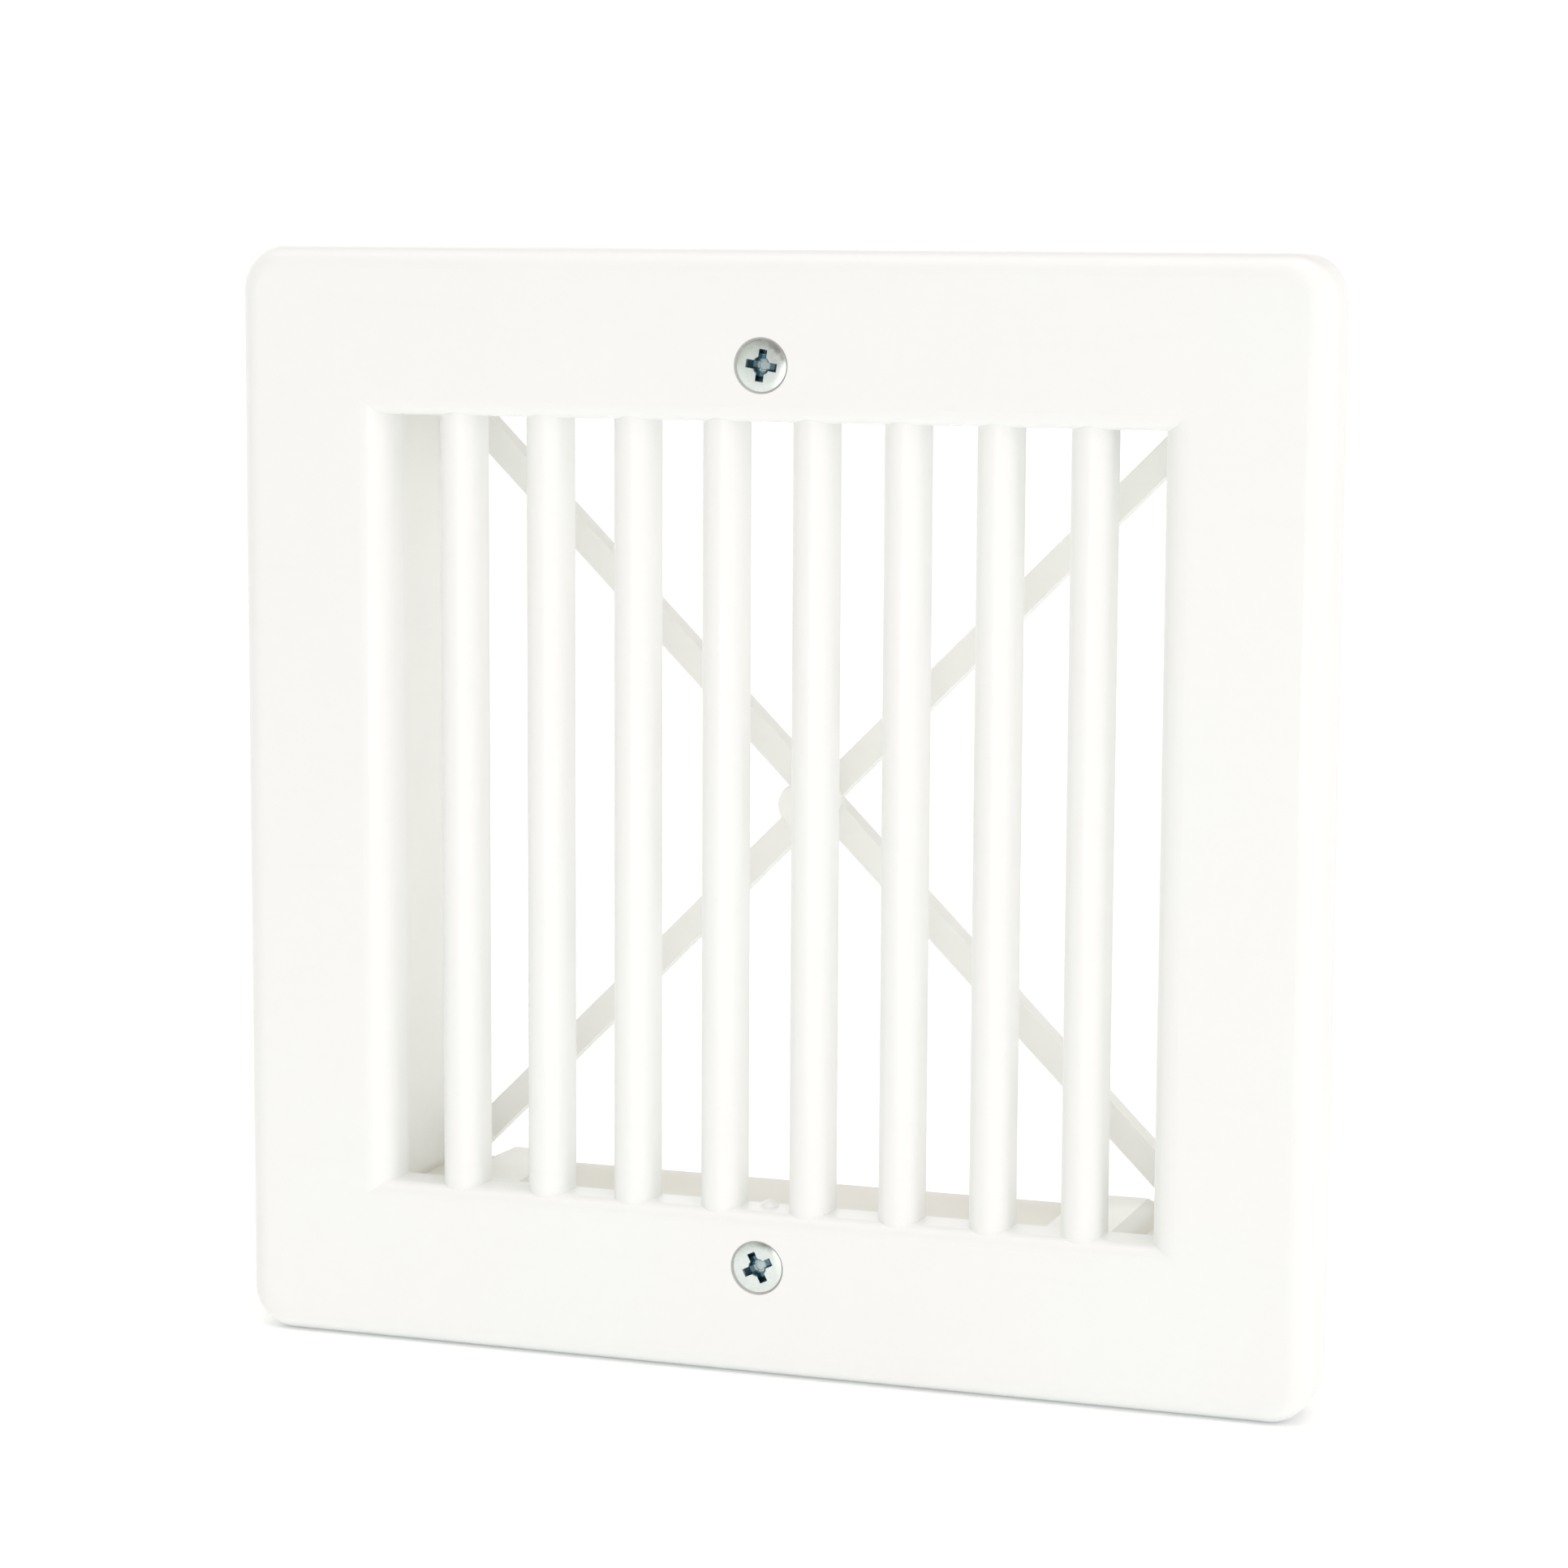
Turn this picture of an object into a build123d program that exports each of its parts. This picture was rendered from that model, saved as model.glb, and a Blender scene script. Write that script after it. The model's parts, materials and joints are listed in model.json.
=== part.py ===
"""Exhaust grille: a moulded front with upright bars, screwed to a rear frame with a cross brace.

Millimetres. The origin is the middle of the wall plane, +Y runs into the wall and +Z is up,
so the front face looks along -Y.
"""
import os
from math import atan2, cos, degrees, radians

from build123d import *

os.makedirs("parts", exist_ok=True)

# Flange of the front moulding
flange_side = 150.0
flange_depth = 10.0
flange_corner_radius = 5.8
flange_edge_radius = 3.0
plate_thickness = 2.5
skirt_thickness = 2.5

# Opening and the lip behind it
opening_width = 107.0
opening_height = 105.2
side_roll_radius = 3.5
end_roll_radius = 2.0
lip_depth = 6.6
lip_thickness = 2.7

# Upright bars
bar_count = 8
bar_width = 5.5
bar_setback = 0.7

# Countersunk screws and the bosses that take them
screw_margin = 7.4
screw_length = 9.5
shank_radius = 1.75
head_radius = 3.5
head_sink = 0.15
seat_gap = 0.05
screw_hole_radius = 2.0
boss_radius = 4.0
tip_length = 2.2
tip_radius = 0.4
recess_span = 4.5
recess_slot = 1.1
recess_depth = 1.2
recess_taper = 8.0
recess_turns = (-8.5, 26.0)

# Collar of the rear frame, a step wider than the opening
collar_side_step = 1.1
collar_end_step = 2.0
collar_wall = 1.8
collar_corner_radius = 2.0
collar_edge_radius = 0.8
collar_gap = 0.1
collar_reach = 18.4

# Guide ribs near the collar's corners
rib_inset = 8.1
rib_width = 8.8
rib_slope = 3.2
rib_height = 1.6

# Cross brace and hub at the collar's far end
arm_width = 3.7
arm_depth = 3.3
hub_radius = 3.3
hub_length = 8.1
hub_edge = 0.5

# Wall rim and its fixing holes
rim_thickness = 2.4
rim_gap = 0.4
fixing_hole_radius = 2.25

# Stub of the mould gate at the back of the lower lip
gate_radius = 1.5
gate_height = 0.8

# Places worked out from the sizes above
front_y = -flange_depth
plate_back_y = front_y + plate_thickness
lip_back_y = front_y + lip_depth
bar_pitch = (opening_width + bar_width) / (bar_count + 1)
bar_radius = bar_width / 2
bar_front_y = front_y + bar_setback
lip_width = opening_width + 2 * lip_thickness
lip_height = opening_height + 2 * lip_thickness
skirt_inner = flange_side - 2 * skirt_thickness
skirt_inner_radius = flange_corner_radius - skirt_thickness
screw_spacing = opening_height + 2 * screw_margin
screw_z = screw_spacing / 2
countersink_radius = head_radius + head_sink + seat_gap
collar_width = opening_width + 2 * collar_side_step
collar_height = opening_height + 2 * collar_end_step
collar_outer_width = collar_width + 2 * collar_wall
collar_outer_height = collar_height + 2 * collar_wall
collar_front_y = lip_back_y + collar_gap
rib_edge = collar_width / 2 - rib_inset
rib_foot_z = collar_height / 2
rib_top_z = rib_foot_z - rib_height
arm_angle = degrees(atan2(collar_height, collar_width))
arm_length = collar_width + collar_height
hub_foot_y = collar_reach - arm_depth
hub_face_y = hub_foot_y - hub_length
rim_side = skirt_inner - 2 * rim_gap
rim_corner_radius = skirt_inner_radius - rim_gap
fixing_spacing_x = (collar_outer_width + rim_side) / 2
fixing_spacing_z = (collar_outer_height + rim_side) / 2
gate_y = lip_back_y - gate_radius
gate_z = gate_height - gate_radius - opening_height / 2


def rolled_profile(opening_size, roll_radius):
    """Face across an opening: a funnel that rolls in from the front and runs straight to the back."""
    half = opening_size / 2
    arc_middle = roll_radius * (1 - cos(radians(45)))
    with BuildLine() as funnel:
        Line((0, front_y - roll_radius), (half + roll_radius, front_y - roll_radius))
        Line((half + roll_radius, front_y - roll_radius), (half + roll_radius, front_y))
        ThreePointArc(
            (half + roll_radius, front_y),
            (half + arc_middle, front_y + arc_middle),
            (half, front_y + roll_radius),
        )
        Line((half, front_y + roll_radius), (half, 0))
        Line((half, 0), (0, 0))
        mirror(about=Plane.YZ)
    return funnel.line


# Space of the rolled opening: side rolls run upright, end rolls run across
with BuildPart() as opening_space:
    with BuildSketch(Plane.XY):
        with BuildLine():
            add(rolled_profile(opening_width, side_roll_radius))
        make_face()
    extrude(amount=flange_side / 2, both=True)
    with BuildSketch(Plane(origin=(0, 0, 0), x_dir=(0, 0, 1), z_dir=(-1, 0, 0))):
        with BuildLine():
            add(rolled_profile(opening_height, end_roll_radius))
        make_face()
    extrude(amount=flange_side / 2, both=True, mode=Mode.INTERSECT)

# Front moulding
with BuildPart() as grille_front:
    # Flange with a rounded front edge, hollow behind
    with BuildSketch(Plane.XZ):
        RectangleRounded(flange_side, flange_side, flange_corner_radius)
    extrude(amount=flange_depth)
    front_edges = faces().sort_by(Axis.Y)[0].edges()
    fillet(front_edges, flange_edge_radius)
    with BuildSketch(Plane.XZ):
        RectangleRounded(skirt_inner, skirt_inner, skirt_inner_radius)
    extrude(amount=flange_depth - plate_thickness, mode=Mode.SUBTRACT)

    # Lip behind the plate, with the rolled opening cut through both
    with BuildSketch(Plane.XZ.offset(-plate_back_y)):
        Rectangle(lip_width, lip_height)
    extrude(amount=plate_back_y - lip_back_y)
    add(opening_space.part, mode=Mode.SUBTRACT)

    # Bars with round fronts, rooted in the rolls above and below
    with BuildSketch(Plane.XY):
        with Locations((0, (bar_front_y + bar_radius + lip_back_y) / 2)):
            with GridLocations(bar_pitch, 0, bar_count, 1):
                Rectangle(bar_width, lip_back_y - bar_front_y - bar_radius)
        with Locations((0, bar_front_y + bar_radius)):
            with GridLocations(bar_pitch, 0, bar_count, 1):
                Circle(bar_radius)
    extrude(amount=opening_height / 2 + end_roll_radius, both=True)

    # Countersunk holes above and below the opening
    with Locations(Plane(origin=(0, front_y, 0), x_dir=(1, 0, 0), z_dir=(0, -1, 0))):
        with GridLocations(0, screw_spacing, 1, 2):
            CounterSinkHole(screw_hole_radius, countersink_radius, plate_thickness, counter_sink_angle=90)

    # Stub of the mould gate, a low mound on the lower lip
    with Locations((0, gate_y, gate_z)):
        Sphere(gate_radius)

# Rear frame
with BuildPart() as rear_frame:
    # Rim against the wall, inside the skirt
    with BuildSketch(Plane.XZ):
        RectangleRounded(rim_side, rim_side, rim_corner_radius)
    extrude(amount=rim_thickness)

    # Bosses that carry the front plate and take its screws
    with BuildSketch(Plane.XZ):
        with GridLocations(0, screw_spacing, 1, 2):
            Circle(boss_radius)
    extrude(amount=-plate_back_y)

    # Collar from just behind the lip to its far edge in the wall, rounded there to enter the duct
    with BuildSketch(Plane.XZ.offset(-collar_front_y)):
        RectangleRounded(collar_outer_width, collar_outer_height, collar_corner_radius)
    extrude(amount=collar_front_y - collar_reach)
    fillet(faces().sort_by(Axis.Y)[-1].edges(), collar_edge_radius)
    with BuildSketch(Plane.XZ.offset(-collar_front_y)):
        Rectangle(collar_width, collar_height)
    extrude(amount=collar_front_y - collar_reach, mode=Mode.SUBTRACT)

    # Guide ribs on the collar's floor and ceiling, with a slope towards the side walls
    with BuildSketch(Plane.XZ.offset(-collar_front_y)):
        with BuildLine():
            Polyline(
                (rib_edge - rib_width, rib_foot_z),
                (rib_edge - rib_width, rib_top_z),
                (rib_edge, rib_top_z),
                (rib_edge + rib_slope, rib_foot_z),
                close=True,
            )
        make_face()
        mirror(about=Plane.YZ)
        mirror(about=Plane.XZ)
    extrude(amount=collar_front_y - collar_reach)

    # Cross brace from corner to corner, flush with the collar's far edge
    with BuildSketch(Plane.XZ.offset(-collar_reach)):
        Rectangle(arm_length, arm_width, rotation=arm_angle)
        Rectangle(arm_length, arm_width, rotation=-arm_angle)
        Rectangle(collar_width + collar_wall, collar_height + collar_wall, mode=Mode.INTERSECT)
    extrude(amount=arm_depth)

    # Hub in the middle of the cross, standing forward of the arms
    with BuildSketch(Plane.XZ.offset(-hub_foot_y)):
        Circle(hub_radius)
    extrude(amount=hub_length)
    hub_face = faces().filter_by_position(Axis.Y, hub_face_y, hub_face_y)
    chamfer(hub_face.edges(), hub_edge)

    # Pilot bores for the screws and the wall fixing holes
    with Locations(Plane(origin=(0, plate_back_y, 0), x_dir=(1, 0, 0), z_dir=(0, -1, 0))):
        with GridLocations(0, screw_spacing, 1, 2):
            Hole(shank_radius + seat_gap, -plate_back_y)
    with Locations(Plane(origin=(0, -rim_thickness, 0), x_dir=(1, 0, 0), z_dir=(0, -1, 0))):
        with GridLocations(fixing_spacing_x, fixing_spacing_z, 2, 2):
            Hole(fixing_hole_radius, rim_thickness)

# Two countersunk screws
with BuildPart() as face_screws:
    head_y = front_y + head_sink
    neck_y = head_y + head_radius - shank_radius
    end_y = head_y + screw_length
    for place_z, turn in ((screw_z, recess_turns[0]), (-screw_z, recess_turns[1])):
        with BuildSketch(Plane.XY.offset(place_z)):
            with BuildLine():
                Polyline(
                    (0, head_y),
                    (head_radius, head_y),
                    (shank_radius, neck_y),
                    (shank_radius, end_y - tip_length),
                    (tip_radius, end_y),
                    (0, end_y),
                    close=True,
                )
            make_face()
        revolve(axis=Axis((0, 0, place_z), (0, 1, 0)))
        with BuildSketch(Plane(origin=(0, head_y, place_z), x_dir=(1, 0, 0), z_dir=(0, -1, 0))):
            Rectangle(recess_span, recess_slot, rotation=turn)
            Rectangle(recess_slot, recess_span, rotation=turn)
        extrude(amount=-recess_depth, taper=recess_taper, mode=Mode.SUBTRACT)

grille_front.part.label = "grille_front"
rear_frame.part.label = "rear_frame"
face_screws.part.label = "face_screws"
export_step(grille_front.part, "parts/grille_front.step")
export_step(rear_frame.part, "parts/rear_frame.step")
export_step(face_screws.part, "parts/face_screws.step")
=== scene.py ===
# %% [markdown]
# Exhaust grille, dressed for its portrait
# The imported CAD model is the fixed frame: a moulded front with upright bars, the rear frame behind it and
# two screws. This lesson keeps the two mouldings and gives them their plastics, models the screws afresh
# with a thread and a cross recess, and lights the whole. All is in metres, with +Y into the wall and +Z up.

# %% Load the frame
import json
from math import pi, radians

import bpy
from mathutils import Matrix, Vector

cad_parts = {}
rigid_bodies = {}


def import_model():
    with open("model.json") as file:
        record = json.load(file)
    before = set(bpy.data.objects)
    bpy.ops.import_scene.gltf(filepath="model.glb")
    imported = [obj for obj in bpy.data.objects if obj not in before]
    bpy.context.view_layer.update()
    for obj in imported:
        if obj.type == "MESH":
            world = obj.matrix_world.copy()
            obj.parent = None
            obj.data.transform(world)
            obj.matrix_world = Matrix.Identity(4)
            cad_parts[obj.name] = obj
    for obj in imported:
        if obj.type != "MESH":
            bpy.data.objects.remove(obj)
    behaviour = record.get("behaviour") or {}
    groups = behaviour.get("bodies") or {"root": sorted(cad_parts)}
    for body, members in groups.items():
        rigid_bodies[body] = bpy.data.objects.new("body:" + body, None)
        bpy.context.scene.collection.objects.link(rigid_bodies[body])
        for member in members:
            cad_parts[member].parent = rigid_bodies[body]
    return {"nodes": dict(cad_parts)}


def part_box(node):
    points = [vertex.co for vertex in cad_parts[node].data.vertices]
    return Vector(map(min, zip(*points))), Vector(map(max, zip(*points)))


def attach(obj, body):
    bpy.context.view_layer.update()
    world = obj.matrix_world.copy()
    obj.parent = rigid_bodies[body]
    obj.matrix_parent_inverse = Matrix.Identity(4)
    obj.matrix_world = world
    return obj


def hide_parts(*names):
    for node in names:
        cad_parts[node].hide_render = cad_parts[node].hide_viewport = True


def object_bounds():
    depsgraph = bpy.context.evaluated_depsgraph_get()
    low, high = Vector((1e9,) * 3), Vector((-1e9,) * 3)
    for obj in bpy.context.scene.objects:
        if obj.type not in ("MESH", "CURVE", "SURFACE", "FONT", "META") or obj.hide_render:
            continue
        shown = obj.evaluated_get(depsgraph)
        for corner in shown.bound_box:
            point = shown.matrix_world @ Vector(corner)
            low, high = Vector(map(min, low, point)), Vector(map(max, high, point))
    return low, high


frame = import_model()
cad_low, cad_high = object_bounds()
MM = 0.001
FRONT_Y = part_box("grille_front")[0].y
FLOOR_Z = cad_low.z
print("CAD box in mm:", [round(v / MM, 1) for v in cad_high - cad_low])

# %% [markdown]
# The camera
# A likeness starts with the camera. A long lens some half a metre away looks at the middle of the front,
# from the right and from a little above. It could be aimed by a constraint. But a camera looks along its own
# -Z, and three plain rotations also give the slight roll: roll about the line of sight, tip up, swing round.

# %% Camera in front of the grille
LOOK_AT = Vector((3.5 * MM, FRONT_Y, 5.4 * MM))
DISTANCE = 553.7 * MM
SWING = radians(18.88)
DIP = radians(7.72)
ROLL = radians(0.29)
LENS = 96.9
SENSOR_WIDTH = 36.0
NEAR_LIMIT = 10 * MM

camera = bpy.data.objects.new("camera", bpy.data.cameras.new("camera"))
bpy.context.scene.collection.objects.link(camera)
camera.data.lens = LENS
camera.data.sensor_width = SENSOR_WIDTH
camera.data.clip_start = NEAR_LIMIT
swung = Matrix.Rotation(SWING, 3, "Z")
tipped = Matrix.Rotation(radians(90) - DIP, 3, "X")
rolled = Matrix.Rotation(ROLL, 3, "Z")
aim = swung @ tipped @ rolled
camera.rotation_euler = aim.to_euler()
camera.location = LOOK_AT + aim @ Vector((0, 0, DISTANCE))
bpy.context.scene.camera = camera
print("camera at", [round(v, 3) for v in camera.location])

# %% [markdown]
# The table
# The grille stands on its lower edge on a plain white table. A bent backdrop could be built for it, but a
# large plane is enough, because the world behind is as white. It throws light back up, which an upright
# front needs, and it glows a little, so that it stays pure white. The glow is low: a strong one would wash
# out the thin dark line where the grille meets the table.

# %% White table
TABLE_SIZE = 12.0
TABLE_WHITE = (0.95, 0.95, 0.945, 1)
TABLE_ROUGHNESS = 0.8
TABLE_GLOW = 0.13
GLOW_TINT = (0.89, 0.98, 1.0, 1)

bpy.ops.object.select_all(action="DESELECT")
bpy.ops.mesh.primitive_plane_add(size=TABLE_SIZE, location=(0, 0, FLOOR_Z))
table = bpy.context.active_object
table.name = "table"

table_finish = bpy.data.materials.new("table_white")
table_finish.use_nodes = True
table.data.materials.append(table_finish)
table_shader = table_finish.node_tree.nodes["Principled BSDF"]
table_shader.inputs["Base Color"].default_value = TABLE_WHITE
table_shader.inputs["Roughness"].default_value = TABLE_ROUGHNESS
table_shader.inputs["Emission Color"].default_value = GLOW_TINT
table_shader.inputs["Emission Strength"].default_value = TABLE_GLOW
print("table at z =", round(FLOOR_Z / MM, 1), "mm")

# %% [markdown]
# Two helpers for node trees
# The room's light and every finish below are trees of small nodes. They could be wired by hand in the shader
# editor. In a script the same steps come back each time: add a node, set its options and values, link it.
# Two short functions take them up, so that the cells that follow read as a list of what each tree does.

# %% Helpers for node trees
# Sockets of a Mix node that hold colours
MIX_FIRST = 6
MIX_SECOND = 7
MIX_RESULT = 2


def add_node(tree, kind, values=None, feeds=None, **options):
    """Adds a node with its options, plain values for its inputs, and links into its inputs."""
    node = tree.nodes.new(kind)
    for name, value in options.items():
        setattr(node, name, value)
    for name, value in (values or {}).items():
        node.inputs[name].default_value = value
    for name, socket in (feeds or {}).items():
        tree.links.new(socket, node.inputs[name])
    return node


def mix_colours(tree, factor, first, second, blend="MIX"):
    """Blends two colours by a factor. Each colour is a socket or a plain value."""
    mix = add_node(tree, "ShaderNodeMix", feeds={"Factor": factor}, data_type="RGBA", blend_type=blend)
    for index, colour in ((MIX_FIRST, first), (MIX_SECOND, second)):
        if isinstance(colour, tuple):
            mix.inputs[index].default_value = colour
        else:
            tree.links.new(colour, mix.inputs[index])
    return mix.outputs[MIX_RESULT]


print("helpers ready:", add_node.__name__, mix_colours.__name__)

# %% [markdown]
# The room
# White plastic shows only what surrounds it, so the light is the look. Lamps could give it, but the soft
# light of a white room is easier to paint on the world by direction. Two bright backdrops stand low behind
# the grille and shine in through the open collar. The sides are dimmer, and the wall at the right bleaches
# the flange's right side. A strong patch is overhead, and two pale walls are in front, of which the narrow
# left one is there for the steel screws to mirror. A dot product tells how near a direction is to the middle
# of each patch.

# %% World light by direction
ROOM_BASE = (0.135, 0.11, 0.085, 1)
ROOM_PATCHES = (
    # Name, middle, dot product where it starts, dot product where it is full, light that it adds
    ("backdrop_left", (-0.64, 0.77, 0.05), 0.63, 0.97, (1.52, 1.52, 1.52, 1)),
    ("backdrop_right", (0.60, 0.80, 0.06), 0.70, 0.97, (1.03, 1.03, 1.03, 1)),
    ("side_left", (-0.97, 0.15, 0.15), 0.60, 0.97, (0.62, 0.62, 0.62, 1)),
    ("side_right", (0.97, 0.15, 0.15), 0.60, 0.97, (0.20, 0.20, 0.20, 1)),
    ("right_wall", (0.97, -0.20, 0.12), 0.75, 0.97, (0.32, 0.32, 0.35, 1)),
    ("ceiling", (0.15, -0.40, 0.90), 0.35, 1.00, (0.35, 0.32, 0.33, 1)),
    ("overhead", (0.03, -0.15, 0.99), 0.77, 1.00, (1.98, 2.00, 2.00, 1)),
    ("front_right", (0.75, -0.60, 0.15), 0.50, 0.96, (0.73, 0.69, 0.70, 1)),
    ("front_left", (-0.53, -0.84, 0.10), 0.93, 0.99, (0.55, 0.60, 0.56, 1)),
)

room = bpy.data.worlds.new("room")
room.use_nodes = True
bpy.context.scene.world = room
room_tree = room.node_tree
look = add_node(room_tree, "ShaderNodeTexCoord").outputs["Generated"]
paint = ROOM_BASE
for name, middle, start, full, light in ROOM_PATCHES:
    nearness = add_node(room_tree, "ShaderNodeVectorMath", {1: Vector(middle).normalized()}, {0: look},
                        operation="DOT_PRODUCT", label=name)
    mask = add_node(room_tree, "ShaderNodeMapRange", {"From Min": start, "From Max": full},
                    {"Value": nearness.outputs["Value"]}, interpolation_type="SMOOTHSTEP")
    paint = mix_colours(room_tree, mask.outputs["Result"], paint, light, blend="ADD")
room_tree.links.new(paint, room_tree.nodes["Background"].inputs["Color"])
bpy.context.scene.view_settings.view_transform = "Standard"
print("room painted with", len(ROOM_PATCHES), "patches of light")

# %% [markdown]
# The strip light
# A low strip light lies on the table in front, just outside the picture. The world alone could light the
# front, but it would do so evenly. A lamp that is near and low gives the lower part more than the top, which
# is the soft fall of light that a white front shows.

# %% Strip light in front
STRIP_PLACE = Vector((150 * MM, -620 * MM, FLOOR_Z + 35 * MM))
STRIP_LENGTH = 300 * MM
STRIP_HEIGHT = 50 * MM
STRIP_POWER = 0.39
STRIP_TINT = (0.93, 1.0, 0.97)

strip = bpy.data.objects.new("strip_light", bpy.data.lights.new("strip_light", "AREA"))
strip.data.shape = "RECTANGLE"
strip.data.size = STRIP_LENGTH
strip.data.size_y = STRIP_HEIGHT
strip.data.energy = STRIP_POWER
strip.data.color = STRIP_TINT
strip.visible_camera = False
bpy.context.scene.collection.objects.link(strip)
strip.location = STRIP_PLACE
strip.rotation_euler = (STRIP_PLACE - LOOK_AT).to_track_quat("Z", "Y").to_euler()
print("strip light", round((STRIP_PLACE - LOOK_AT).length / MM), "mm from the front")

# %% [markdown]
# Moulded skin, an effect that both plastics share
# Moulded plastic is never one flat colour. The melt leaves soft clouds of slightly different white, the
# polish of the mould differs from place to place, and its spark-worked steel leaves a fine grain. The nodes
# could be repeated in each material, but a node group is built once and placed in each plastic with its own
# values. It puts out three things that change over the surface: tone, roughness and a height for a bump.

# %% Node group: moulded skin
SKIN_DEFAULTS = {
    "Cloud Scale": 14.0, "Polish Scale": 55.0, "Grain Scale": 2600.0,
    "Roughness Low": 0.3, "Roughness High": 0.45,
}
CLOUD_DETAIL = 3.0
POLISH_DETAIL = 2.0
GRAIN_DETAIL = 1.0
NOISE_ROUGHNESS = 0.55
NOISE_SPAN = {"From Min": 0.3, "From Max": 0.7}
POLISH_SHARE = 2.0


def open_group(name, inputs, outputs):
    """Makes an empty shader node group and returns it with its input and output nodes."""
    group = bpy.data.node_groups.new(name, "ShaderNodeTree")
    for label, default in inputs.items():
        socket = group.interface.new_socket(label, in_out="INPUT", socket_type="NodeSocketFloat")
        socket.default_value = default
    for label in outputs:
        group.interface.new_socket(label, in_out="OUTPUT", socket_type="NodeSocketFloat")
    return group, group.nodes.new("NodeGroupInput"), group.nodes.new("NodeGroupOutput")


def noise(group, place, scale, detail):
    """Adds a noise texture whose scale comes from a group input."""
    texture = add_node(group, "ShaderNodeTexNoise", {"Detail": detail, "Roughness": NOISE_ROUGHNESS},
                       {"Vector": place, "Scale": scale})
    return texture.outputs["Fac"]


skin, skin_in, skin_out = open_group("moulded_skin", SKIN_DEFAULTS, ("Tone", "Roughness", "Height"))
skin_place = add_node(skin, "ShaderNodeTexCoord").outputs["Object"]
clouds = noise(skin, skin_place, skin_in.outputs["Cloud Scale"], CLOUD_DETAIL)
polish = noise(skin, skin_place, skin_in.outputs["Polish Scale"], POLISH_DETAIL)
grain = noise(skin, skin_place, skin_in.outputs["Grain Scale"], GRAIN_DETAIL)
tone = add_node(skin, "ShaderNodeMapRange", NOISE_SPAN, {"Value": clouds})
gloss = add_node(skin, "ShaderNodeMapRange", NOISE_SPAN, {
    "Value": polish,
    "To Min": skin_in.outputs["Roughness Low"],
    "To Max": skin_in.outputs["Roughness High"],
})
height = add_node(skin, "ShaderNodeMath", {1: POLISH_SHARE}, {0: polish, 2: grain},
                  operation="MULTIPLY_ADD")
skin.links.new(tone.outputs["Result"], skin_out.inputs["Tone"])
skin.links.new(gloss.outputs["Result"], skin_out.inputs["Roughness"])
skin.links.new(height.outputs["Value"], skin_out.inputs["Height"])
print("group", skin.name, "has", len(skin.nodes), "nodes")

# %% [markdown]
# Handling marks, another shared effect
# A part that has been packed and fitted carries faint rubs: long thin streaks, duller than the skin round
# them. They could be drawn one by one. A noise that is stretched along one direction gives as many as are
# wanted, and a threshold keeps only its peaks.

# %% Node group: handling marks
STREAK_STRETCH = (0.06, 1.0, 1.0)
STREAK_TURN = (radians(20), radians(35), radians(10))
STREAK_DETAIL = 2.0
STREAK_PEAKS = {"From Min": 0.60, "From Max": 0.75}
RUB_DEFAULTS = {"Streak Scale": 420.0, "Amount": 0.3}

rubs, rubs_in, rubs_out = open_group("handling_marks", RUB_DEFAULTS, ("Mask",))
rub_place = add_node(rubs, "ShaderNodeTexCoord").outputs["Object"]
stretched = add_node(rubs, "ShaderNodeMapping", {"Rotation": STREAK_TURN, "Scale": STREAK_STRETCH},
                     {"Vector": rub_place})
streaks = add_node(rubs, "ShaderNodeTexNoise", {"Detail": STREAK_DETAIL}, {
    "Vector": stretched.outputs["Vector"], "Scale": rubs_in.outputs["Streak Scale"],
})
peaks = add_node(rubs, "ShaderNodeMapRange", STREAK_PEAKS, {
    "Value": streaks.outputs["Fac"], "To Max": rubs_in.outputs["Amount"],
})
rubs.links.new(peaks.outputs["Result"], rubs_out.inputs["Mask"])
print("group", rubs.name, "has", len(rubs.nodes), "nodes")

# %% [markdown]
# Shaded rings, the front's own painted shade
# The narrow gap where each countersunk head meets the plastic lies in shade, and a thin grey ring painted
# round the countersink stands in for that shade. It could be painted on a UV map. The place is known,
# though, and the two screws mirror each other, so a distance from the screw's axis, with the height taken
# without its sign, draws both rings.

# %% Mask of the rings of painted shade
screws_low, screws_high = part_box("face_screws")
HEAD_RADIUS = screws_high.x
SCREW_Z = screws_high.z - HEAD_RADIUS
# The ring of painted shade lies just outside the screw head
RING_RADIUS = HEAD_RADIUS + 0.12 * MM
RING_FADE = 0.12 * MM


def painted_shade_rings(tree, place):
    """A mask of the thin ring round each screw where shade is painted, in the gap round the countersunk
    head.
    """
    offset = place
    for operation, value in (
        ("ABSOLUTE", (0, 0, 0)), ("SUBTRACT", (0, 0, SCREW_Z)), ("MULTIPLY", (1, 0, 1)),
    ):
        step = add_node(tree, "ShaderNodeVectorMath", {1: value}, {0: offset}, operation=operation)
        offset = step.outputs["Vector"]
    radius = add_node(tree, "ShaderNodeVectorMath", feeds={0: offset}, operation="LENGTH")
    ring = add_node(tree, "ShaderNodeMapRange",
                    {"From Min": RING_RADIUS + RING_FADE, "From Max": RING_RADIUS},
                    {"Value": radius.outputs["Value"]}, interpolation_type="SMOOTHSTEP")
    return ring.outputs["Result"]


print("rings of", round(RING_RADIUS / MM, 2), "mm radius,", round(SCREW_Z / MM, 1), "mm above and below")

# %% [markdown]
# Painted floor shade, the rear frame's own mark
# The collar's floor lies deep inside the recess, where little light reaches, and its colour is painted a
# little darker and yellower as shade. A height gives this painted shade, and two limits keep it
# between the collar's walls, so that the wall rim outside stays clean.

# %% Mask of the painted shade on the collar's floor
COLLAR_HALF = 54.6 * MM
# The collar's floor is painted darker as shade, up to this height
FLOOR_SHADE_FULL = 0.2 * MM - COLLAR_HALF
FLOOR_SHADE_FADE = 1.0 * MM
FLOOR_SHADE_MARGIN = 0.4 * MM


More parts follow.
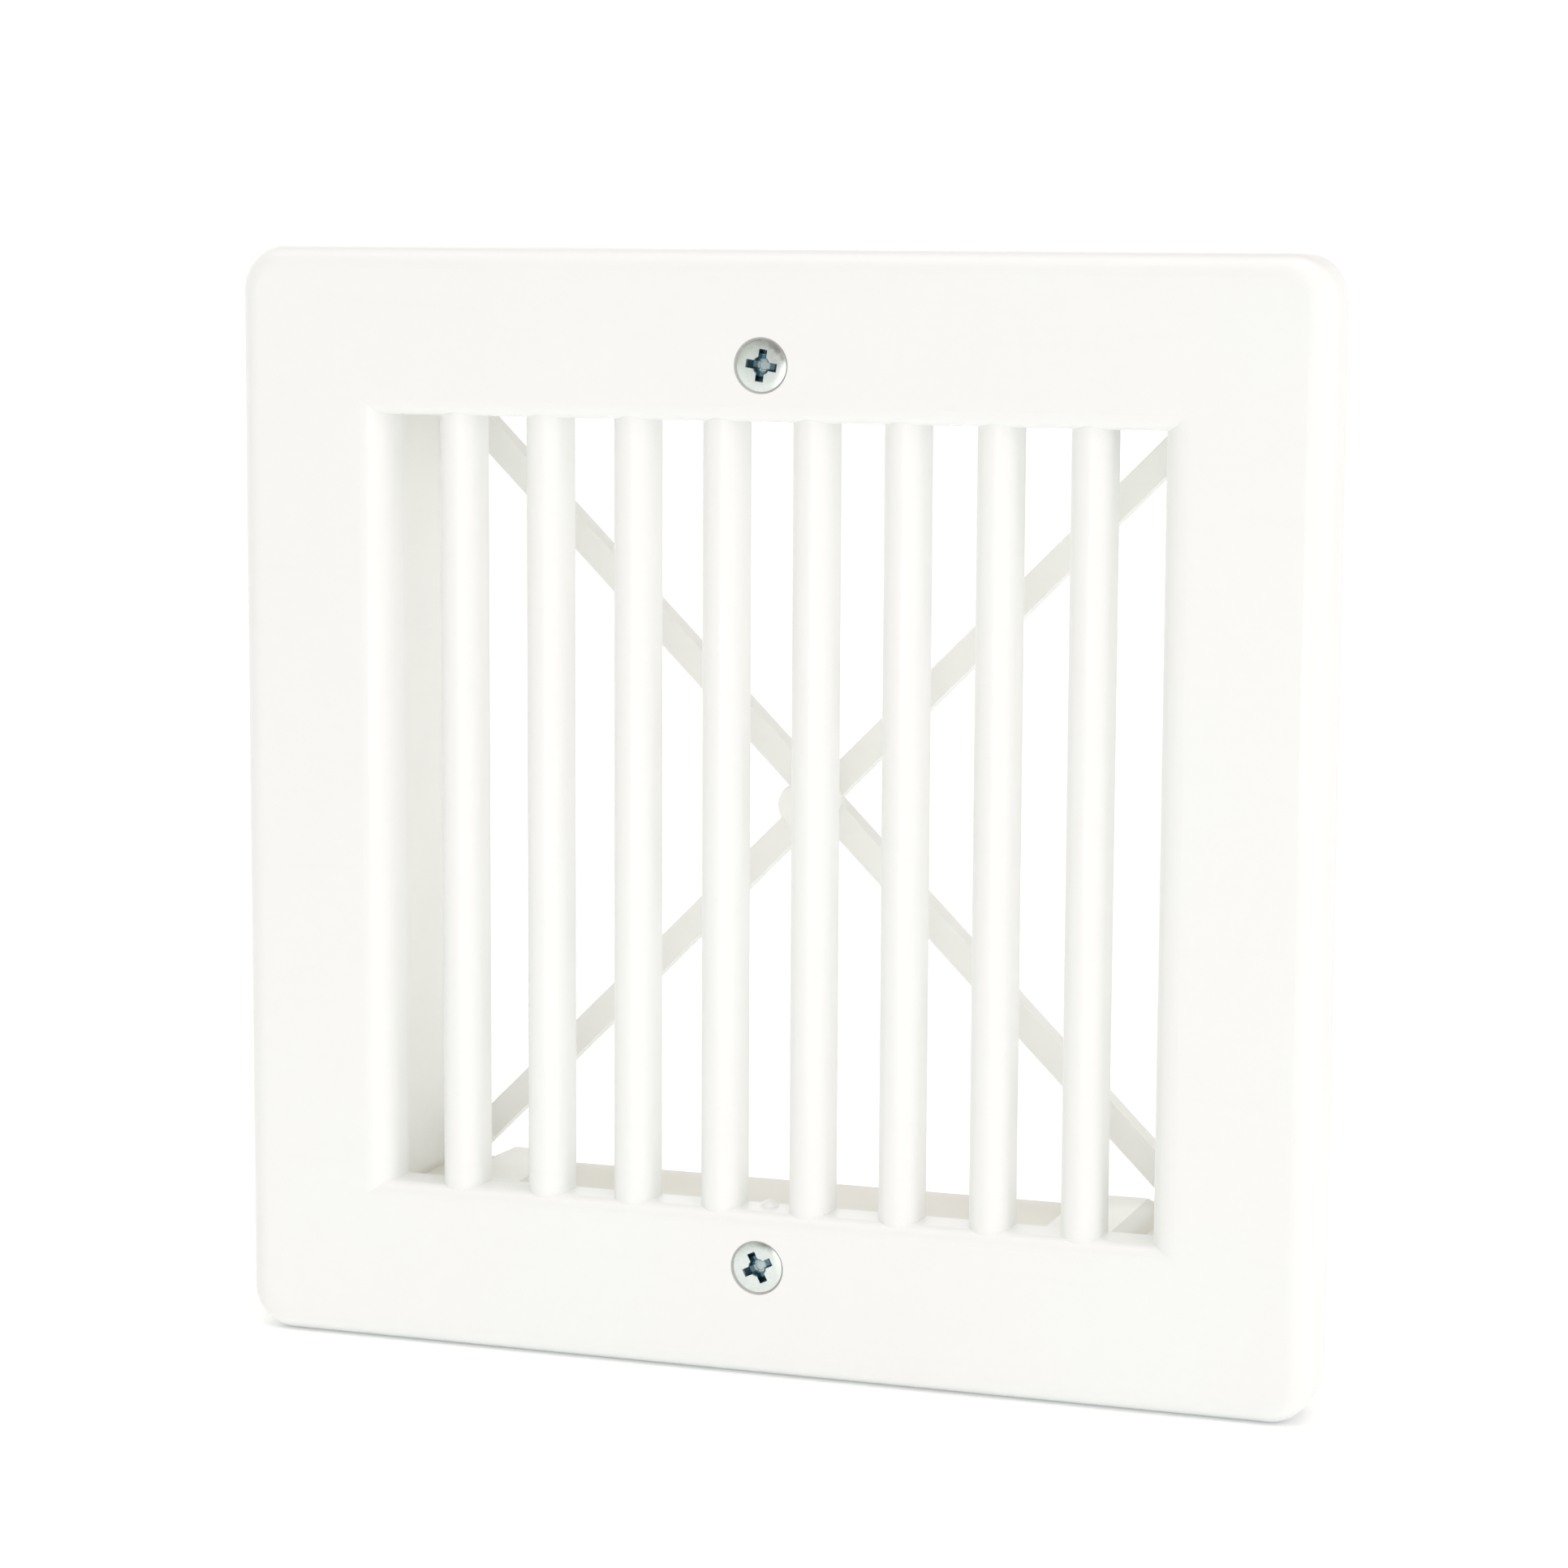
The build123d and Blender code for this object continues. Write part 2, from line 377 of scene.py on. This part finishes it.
def painted_floor_shade(tree, place):
    """A mask of the collar's floor, between its side walls, where shade is painted to darken it."""
    axes = add_node(tree, "ShaderNodeSeparateXYZ", feeds={"Vector": place})
    shade_mask = add_node(tree, "ShaderNodeMapRange", {"From Min": FLOOR_SHADE_FULL + FLOOR_SHADE_FADE, "From Max": FLOOR_SHADE_FULL},
                    {"Value": axes.outputs["Z"]}, interpolation_type="SMOOTHSTEP").outputs["Result"]
    for axis in ("X", "Z"):
        distance = add_node(tree, "ShaderNodeMath", feeds={0: axes.outputs[axis]}, operation="ABSOLUTE")
        inside = add_node(tree, "ShaderNodeMath", {1: COLLAR_HALF + FLOOR_SHADE_MARGIN},
                          {0: distance.outputs["Value"]}, operation="LESS_THAN")
        shade_mask = add_node(tree, "ShaderNodeMath", feeds={0: shade_mask, 1: inside.outputs["Value"]},
                        operation="MULTIPLY").outputs["Value"]
    return shade_mask


print("dust up to z =", round((FLOOR_SHADE_FULL + FLOOR_SHADE_FADE) / MM, 1), "mm")

# %% [markdown]
# A moulded plastic
# Both mouldings are white plastic from a mould. A flat white would look like paper, and two hand-made trees
# would drift apart. One function makes both: two near whites mixed by the clouds, rubs that are a little
# greyer and duller, the moulding's own painted shade, and a shallow bump from the skin.

# %% Function for the plastics
PLASTIC_IOR = 1.49
RUB_TINT = (0.80, 0.79, 0.76, 1)
RUB_DULLING = 0.2
BUMP_STRENGTH = 0.35


def moulded_plastic(name, whites, polish_values, rub_values, bump_depth, painted_shade, painted_shade_tint):
    """A moulded plastic with uneven white, polish, grain, a few faint rubs and one painted shade of its own.
    """
    material = bpy.data.materials.new(name)
    material.use_nodes = True
    tree = material.node_tree
    shader = tree.nodes["Principled BSDF"]
    shader.inputs["IOR"].default_value = PLASTIC_IOR
    surface = add_node(tree, "ShaderNodeGroup", polish_values, node_tree=skin)
    marks = add_node(tree, "ShaderNodeGroup", rub_values, node_tree=rubs)
    place = add_node(tree, "ShaderNodeTexCoord").outputs["Object"]
    white = mix_colours(tree, surface.outputs["Tone"], *whites)
    rubbed = mix_colours(tree, marks.outputs["Mask"], white, RUB_TINT)
    # Each moulding mixes in its own painted shade: the rings round the screws, or the collar's floor
    shaded_colour = mix_colours(tree, painted_shade(tree, place), rubbed, painted_shade_tint)
    dulled = add_node(tree, "ShaderNodeMath", {1: RUB_DULLING}, {
        0: marks.outputs["Mask"], 2: surface.outputs["Roughness"],
    }, operation="MULTIPLY_ADD")
    relief = add_node(tree, "ShaderNodeBump", {"Strength": BUMP_STRENGTH, "Distance": bump_depth},
                      {"Height": surface.outputs["Height"]})
    tree.links.new(shaded_colour, shader.inputs["Base Color"])
    tree.links.new(dulled.outputs["Value"], shader.inputs["Roughness"])
    tree.links.new(relief.outputs["Normal"], shader.inputs["Normal"])
    return material


print("plastics follow the groups", skin.name, "and", rubs.name)

# %% [markdown]
# The two plastics
# The front comes from a better polished mould and is satin. The rear frame, which nobody is meant to look
# at, is a little whiter and duller. They could share one material, but the step in gloss is what tells the
# two mouldings apart where one is seen behind the other.

# %% Front and frame plastics
PLASTICS = {
    "grille_front": {
        "name": "white_plastic",
        "whites": ((0.892, 0.897, 0.884, 1), (0.889, 0.914, 0.899, 1)),
        "polish_values": {"Roughness Low": 0.28, "Roughness High": 0.42},
        "rub_values": {"Amount": 0.05},
        "bump_depth": 0.012 * MM,
        # The grey ring round each screw head is painted shade in the gap round the countersink
        "painted_shade": painted_shade_rings,
        "painted_shade_tint": (0.40, 0.41, 0.40, 1),
    },
    "rear_frame": {
        "name": "frame_plastic",
        "whites": ((0.928, 0.934, 0.908, 1), (0.936, 0.948, 0.920, 1)),
        "polish_values": {"Roughness Low": 0.42, "Roughness High": 0.58},
        "rub_values": {"Amount": 0.08},
        "bump_depth": 0.020 * MM,
        # The darker, yellowish collar floor is painted shade inside the recess
        "painted_shade": painted_floor_shade,
        "painted_shade_tint": (0.82, 0.81, 0.75, 1),
    },
}

for node_name, values in PLASTICS.items():
    moulding = frame["nodes"][node_name]
    moulding.data.materials.clear()
    moulding.data.materials.append(moulded_plastic(**values))
    print(node_name, "wears", values["name"])

# %% [markdown]
# Helpers for modelling by operators
# The screws are the pieces that are modelled here. Their meshes could be written point by point, but
# operators do what a hand does in the window, and can be tried there. An operator acts on all that is
# selected, in the mode that is open, so three helpers keep the selection and the mode in check.

# %% Helpers for edit mode
def pick_alone(piece):
    """Selects one piece alone, in object mode, and makes it the active one."""
    if bpy.context.mode != "OBJECT":
        bpy.ops.object.mode_set(mode="OBJECT")
    bpy.ops.object.select_all(action="DESELECT")
    piece.select_set(True)
    bpy.context.view_layer.objects.active = piece


def start_edit(piece):
    """Opens one piece alone in edit mode."""
    pick_alone(piece)
    bpy.ops.object.mode_set(mode="EDIT")


def select_edges(piece, wanted):
    """Selects the edges whose two ends both pass a test on their place, and opens edit mode again."""
    bpy.ops.mesh.select_mode(type="EDGE")
    bpy.ops.mesh.select_all(action="DESELECT")
    bpy.ops.object.mode_set(mode="OBJECT")
    points = piece.data.vertices
    for edge in piece.data.edges:
        edge.select = all(wanted(points[i].co) for i in edge.vertices)
    bpy.ops.object.mode_set(mode="EDIT")


print("helpers ready:", pick_alone.__name__, start_edit.__name__, select_edges.__name__)

# %% [markdown]
# A screw, first its head
# Each screw is a countersunk one, pressed and rolled from steel wire. Its outline could be spun round the
# axis, but a circle shows how a round part grows: it is the rim of the head, and insets that rise by small
# steps give the slightly crowned face. The screw is modelled once, upright at the origin with the top of its
# head just under z = 0, and copied later.

# %% Screw head from a circle
RIM_RADIUS = HEAD_RADIUS - 0.10 * MM
RIM_DROP = 0.13 * MM
EDGES_ROUND = 96
CROWN_STEPS = (
    # Width of the inset and its rise, from the rim inwards
    (0.08 * MM, 0.030 * MM),
    (0.90 * MM, 0.062 * MM),
    (0.90 * MM, 0.030 * MM),
)

bpy.ops.object.select_all(action="DESELECT")
bpy.ops.mesh.primitive_circle_add(vertices=EDGES_ROUND, radius=RIM_RADIUS, fill_type="NGON",
                                  location=(0, 0, -RIM_DROP))
screw = bpy.context.active_object
screw.name = "screw"
bpy.ops.object.transform_apply(location=True)
start_edit(screw)
bpy.ops.mesh.select_all(action="SELECT")
for width, rise in CROWN_STEPS:
    bpy.ops.mesh.inset(thickness=width)
    bpy.ops.transform.translate(value=(0, 0, rise))
bpy.ops.object.mode_set(mode="OBJECT")
print("screw head:", len(screw.data.polygons), "faces, crown", round(screw.dimensions.z / MM, 3), "mm high")

# %% [markdown]
# The screw's body
# Under its rim the screw narrows in a cone to the neck, runs straight and ends in a blunt tip. A cone and
# two cylinders could be joined to it, with seams to weld. Extruding the ring of the rim's edges, and
# narrowing it at each step, keeps one closed skin.

# %% Screw body from the rim's edge
SCREW_LENGTH = screws_high.y - screws_low.y
CORE_RADIUS = 1.25 * MM
NECK_DROP = HEAD_RADIUS - CORE_RADIUS
TIP_START = SCREW_LENGTH - 2.2 * MM
TIP_RADIUS = 0.35 * MM
RIM_PICK = 0.02 * MM
BODY_PROFILE = (
    # Radius and drop of each step, from the rim's broken edge to the tip
    (RIM_RADIUS - 0.03 * MM, RIM_DROP + 0.05 * MM),
    (CORE_RADIUS, NECK_DROP),
    (CORE_RADIUS, TIP_START),
    (TIP_RADIUS, SCREW_LENGTH),
)

start_edit(screw)
select_edges(screw, lambda co: co.xy.length > RIM_RADIUS - RIM_PICK)
radius = RIM_RADIUS
drop = RIM_DROP
for next_radius, next_drop in BODY_PROFILE:
    bpy.ops.mesh.extrude_edges_move(TRANSFORM_OT_translate={"value": (0, 0, drop - next_drop)})
    shrink = next_radius / radius
    bpy.ops.transform.resize(value=(shrink, shrink, 1), center_override=(0, 0, -next_drop))
    radius = next_radius
    drop = next_drop
bpy.ops.mesh.edge_face_add()
bpy.ops.mesh.select_all(action="SELECT")
bpy.ops.mesh.normals_make_consistent(inside=False)
bpy.ops.object.mode_set(mode="OBJECT")
print("screw body:", len(screw.data.polygons), "faces, length", round(screw.dimensions.z / MM, 2), "mm")

# %% [markdown]
# The thread
# A thread is a small three-cornered rib that climbs round the core. A bump could only hint at it, and the
# tips show in the bosses behind, so it is modelled. A circle of three corners is the rib's section. The
# Screw modifier carries it round and up, its two ends are closed, and a Boolean union makes rib and core one
# skin.

# %% Thread by the Screw modifier
PITCH = 1.35 * MM
THREAD_TOP = NECK_DROP + 0.5 * MM
THREAD_TURNS = int((TIP_START - THREAD_TOP) / PITCH)
THREAD_STEPS = 40
CREST_RADIUS = 1.75 * MM
RIB_CORNERS = 3
RIB_ROOT = 0.12 * MM
RIB_HEIGHT = CREST_RADIUS - CORE_RADIUS + RIB_ROOT
RIB_HALF_WIDTH = 0.42 * MM
# A circle of three corners and radius 1 is this high
TRIANGLE_HEIGHT = 1.5
RIB_SCALE = RIB_HEIGHT / TRIANGLE_HEIGHT
MERGE_DISTANCE = 0.001 * MM
LARGEST_HOLE = 4


def apply_modifier(piece, kind, **settings):
    """Adds a modifier, sets it and applies it."""
    pick_alone(piece)
    modifier = piece.modifiers.new(kind.lower(), kind)
    for name, value in settings.items():
        setattr(modifier, name, value)
    bpy.ops.object.modifier_apply(modifier=modifier.name)


bpy.ops.object.select_all(action="DESELECT")
bpy.ops.mesh.primitive_circle_add(vertices=RIB_CORNERS, radius=1.0, fill_type="NOTHING",
                                  rotation=(0, 0, -pi / 2))
thread = bpy.context.active_object
thread.name = "thread"
bpy.ops.object.transform_apply(rotation=True)
start_edit(thread)
bpy.ops.mesh.select_all(action="SELECT")
bpy.ops.transform.resize(value=(RIB_SCALE, RIB_HALF_WIDTH, 1), center_override=(0, 0, 0))
bpy.ops.transform.translate(value=(CREST_RADIUS - RIB_SCALE, 0, 0))
bpy.ops.transform.rotate(value=pi / 2, orient_axis="X", center_override=(0, 0, 0))
bpy.ops.transform.translate(value=(0, 0, -THREAD_TOP - THREAD_TURNS * PITCH))
bpy.ops.object.mode_set(mode="OBJECT")
apply_modifier(thread, "SCREW", axis="Z", angle=2 * pi, screw_offset=PITCH, iterations=THREAD_TURNS,
               steps=THREAD_STEPS, render_steps=THREAD_STEPS, use_merge_vertices=False)
start_edit(thread)
bpy.ops.mesh.select_all(action="SELECT")
bpy.ops.mesh.remove_doubles(threshold=MERGE_DISTANCE)
bpy.ops.mesh.fill_holes(sides=LARGEST_HOLE)
bpy.ops.mesh.select_all(action="SELECT")
bpy.ops.mesh.normals_make_consistent(inside=False)
bpy.ops.object.mode_set(mode="OBJECT")
apply_modifier(screw, "BOOLEAN", operation="UNION", solver="EXACT", object=thread)
bpy.data.objects.remove(thread)
print("thread of", THREAD_TURNS, "turns,", len(screw.data.polygons), "faces")

# %% [markdown]
# The cross recess
# The cross for the screwdriver is pressed into the head by a punch. It could be inset and pushed in face by
# face, but it is cut as it is made, with a punch: two wings that narrow towards the bottom, as the tip of a
# screwdriver does, and a cone in the middle, each taken away by a Boolean difference.

# %% Punch the recess
WING_SPAN = 4.75 * MM
WING_WIDTH = 1.2 * MM
WING_DEPTH = 1.2 * MM
WING_TAPER = (0.62, 0.70, 1)
PUNCH_ABOVE = 0.4 * MM
CONE_BOTTOM = 0.55 * MM
CONE_TOP = 1.45 * MM
CONE_DEPTH = 1.3 * MM
CONE_EDGES = 40
FACING_DOWN = -0.5


def punch_wing(angle):
    """One tapered wing of the punch, turned about the screw's axis."""
    bpy.ops.object.select_all(action="DESELECT")
    tall = WING_DEPTH + PUNCH_ABOVE
    bpy.ops.mesh.primitive_cube_add(size=1, location=(0, 0, PUNCH_ABOVE - tall / 2),
                                    rotation=(0, 0, angle), scale=(WING_SPAN, WING_WIDTH, tall))
    wing = bpy.context.active_object
    start_edit(wing)
    bpy.ops.mesh.select_mode(type="FACE")
    bpy.ops.mesh.select_all(action="DESELECT")
    bpy.ops.object.mode_set(mode="OBJECT")
    for face in wing.data.polygons:
        face.select = face.normal.z < FACING_DOWN
    bpy.ops.object.mode_set(mode="EDIT")
    bpy.ops.transform.resize(value=WING_TAPER, orient_type="LOCAL")
    bpy.ops.object.mode_set(mode="OBJECT")
    return wing


def punch_cone():
    """The round middle of the punch, which fills the corners between the wings."""
    bpy.ops.object.select_all(action="DESELECT")
    tall = CONE_DEPTH + PUNCH_ABOVE
    bpy.ops.mesh.primitive_cone_add(vertices=CONE_EDGES, radius1=CONE_BOTTOM, radius2=CONE_TOP, depth=tall,
                                    location=(0, 0, PUNCH_ABOVE - tall / 2))
    return bpy.context.active_object


for punch in (punch_wing(0), punch_wing(pi / 2), punch_cone()):
    apply_modifier(screw, "BOOLEAN", operation="DIFFERENCE", solver="EXACT", object=punch)
    bpy.data.objects.remove(punch)
print("recess punched,", len(screw.data.polygons), "faces")

# %% [markdown]
# Zinc plate, its marks
# The screws are steel with a bright, slightly green zinc plate. The cross recess is painted dark teal as
# shade, a little lighter at its middle, and fine rings run round the head. Object coordinates would give the
# two screws different marks. So each vertex keeps its place on the screw in an attribute, before the copies
# are moved to the grille, and the marks are drawn from that.

# %% Marks on the plate
ATTRIBUTE = "screw_place"
# The cross recess is painted dark teal as shade, a little lighter at its middle
RECESS_SHADE_DEPTHS = {"From Min": -0.05 * MM, "From Max": -0.35 * MM}
RECESS_SHADE_EDGE = {"From Min": 2.60 * MM, "From Max": 2.45 * MM}
RECESS_SHADE_TINT = (0.10, 0.19, 0.23, 1)
SHADE_MIDDLE_EDGE = {"From Min": 0.95 * MM, "From Max": 0.70 * MM}
SHADE_MIDDLE_TINT = (0.46, 0.55, 0.56, 1)
RING_SPACING = 0.16 * MM
RING_RELIEF = {"Strength": 0.25, "Distance": 0.004 * MM}


def recess_painted_shade(tree, depth, from_axis):
    """A mask of the recess and the tint of the painted shade in it, dark with a lighter middle."""
    deep = add_node(tree, "ShaderNodeMapRange", RECESS_SHADE_DEPTHS, {"Value": depth},
                    interpolation_type="SMOOTHSTEP")
    within = add_node(tree, "ShaderNodeMapRange", RECESS_SHADE_EDGE, {"Value": from_axis})
    shade_mask = add_node(tree, "ShaderNodeMath", feeds={0: deep.outputs["Result"], 1: within.outputs["Result"]},
                    operation="MULTIPLY")
    lighter_middle = add_node(tree, "ShaderNodeMapRange", SHADE_MIDDLE_EDGE, {"Value": from_axis})
    return shade_mask.outputs["Value"], mix_colours(tree, lighter_middle.outputs["Result"], RECESS_SHADE_TINT, SHADE_MIDDLE_TINT)


def turning_rings(tree, from_axis):
    """The normal of fine rings round the screw's axis."""
    phase = add_node(tree, "ShaderNodeMath", {1: 2 * pi / RING_SPACING}, {0: from_axis},
                     operation="MULTIPLY")
    wave = add_node(tree, "ShaderNodeMath", feeds={0: phase.outputs["Value"]}, operation="SINE")
    relief = add_node(tree, "ShaderNodeBump", RING_RELIEF, {"Height": wave.outputs["Value"]})
    return relief.outputs["Normal"]


print("marks follow the attribute", ATTRIBUTE)

# %% [markdown]
# Zinc plate, the whole finish
# The plate itself is a metal that is cloudy in colour and in polish. One flat grey would look like paint. A
# noise on the kept places gives both clouds, painted shade is laid over it in the recess, and the rings tilt
# its normal. The head's edges stay sharp and its round faces smooth, which shading by angle gives without
# more faces.

# %% Zinc-plated steel
PLATE_TINTS = ((0.60, 0.66, 0.64, 1), (0.84, 0.89, 0.86, 1))
PLATE_CLOUDS = {"Scale": 520.0, "Detail": 4.0}
PLATE_POLISH = {"To Min": 0.18, "To Max": 0.36}
SMOOTH_ANGLE = radians(32)


def zinc_plate():
    """Bright zinc with fine rings, cloudy plating and dark painted shade in the recess."""
    material = bpy.data.materials.new("zinc_steel")
    material.use_nodes = True
    tree = material.node_tree
    shader = tree.nodes["Principled BSDF"]
    shader.inputs["Metallic"].default_value = 1.0
    place = add_node(tree, "ShaderNodeAttribute", attribute_name=ATTRIBUTE).outputs["Vector"]
    axes = add_node(tree, "ShaderNodeSeparateXYZ", feeds={"Vector": place})
    flat = add_node(tree, "ShaderNodeCombineXYZ", feeds={"X": axes.outputs["X"], "Y": axes.outputs["Y"]})
    from_axis = add_node(tree, "ShaderNodeVectorMath", feeds={0: flat.outputs["Vector"]},
                         operation="LENGTH").outputs["Value"]
    cloudy = add_node(tree, "ShaderNodeTexNoise", PLATE_CLOUDS, {"Vector": place}).outputs["Fac"]
    plate = mix_colours(tree, cloudy, *PLATE_TINTS)
    shade_mask, recess_shade_tint = recess_painted_shade(tree, axes.outputs["Z"], from_axis)
    shaded_colour = mix_colours(tree, shade_mask, plate, recess_shade_tint)
    dull = add_node(tree, "ShaderNodeMapRange", NOISE_SPAN | PLATE_POLISH, {"Value": cloudy})
    tree.links.new(shaded_colour, shader.inputs["Base Color"])
    tree.links.new(dull.outputs["Result"], shader.inputs["Roughness"])
    tree.links.new(turning_rings(tree, from_axis), shader.inputs["Normal"])
    return material


kept_place = screw.data.attributes.new(ATTRIBUTE, "FLOAT_VECTOR", "POINT")
kept_place.data.foreach_set("vector", [value for vertex in screw.data.vertices for value in vertex.co])
screw.data.materials.clear()
screw.data.materials.append(zinc_plate())
pick_alone(screw)
bpy.ops.object.shade_smooth_by_angle(angle=SMOOTH_ANGLE)
print("zinc plate on", screw.name)

# %% [markdown]
# Two screws in their seats
# One screw sits above the bars and one below, each stopped at its own turn. Linked copies would share one
# mesh, and then neither could keep its place in its mesh. So each copy gets its own mesh, is turned so that
# its head looks out of the front, and is moved to its seat there, which leaves the object at the origin.

# %% Place the two copies
HEAD_Y = screws_low.y
SEATS = (
    # Name, side of the opening, turn in degrees
    ("upper_screw", 1, -8.5),
    ("lower_screw", -1, 26.0),
)

for name, side, turned in SEATS:
    piece = bpy.data.objects.new(name, screw.data.copy())
    bpy.context.scene.collection.objects.link(piece)
    seat = Matrix.Translation((0, HEAD_Y, side * SCREW_Z)) @ Matrix.Rotation(radians(90), 4, "X")
    piece.data.transform(seat @ Matrix.Rotation(radians(turned), 4, "Z"))
    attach(piece, "root")
    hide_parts("face_screws")
    print(name, "at z =", round(side * SCREW_Z / MM, 1), "mm")
bpy.data.objects.remove(screw)
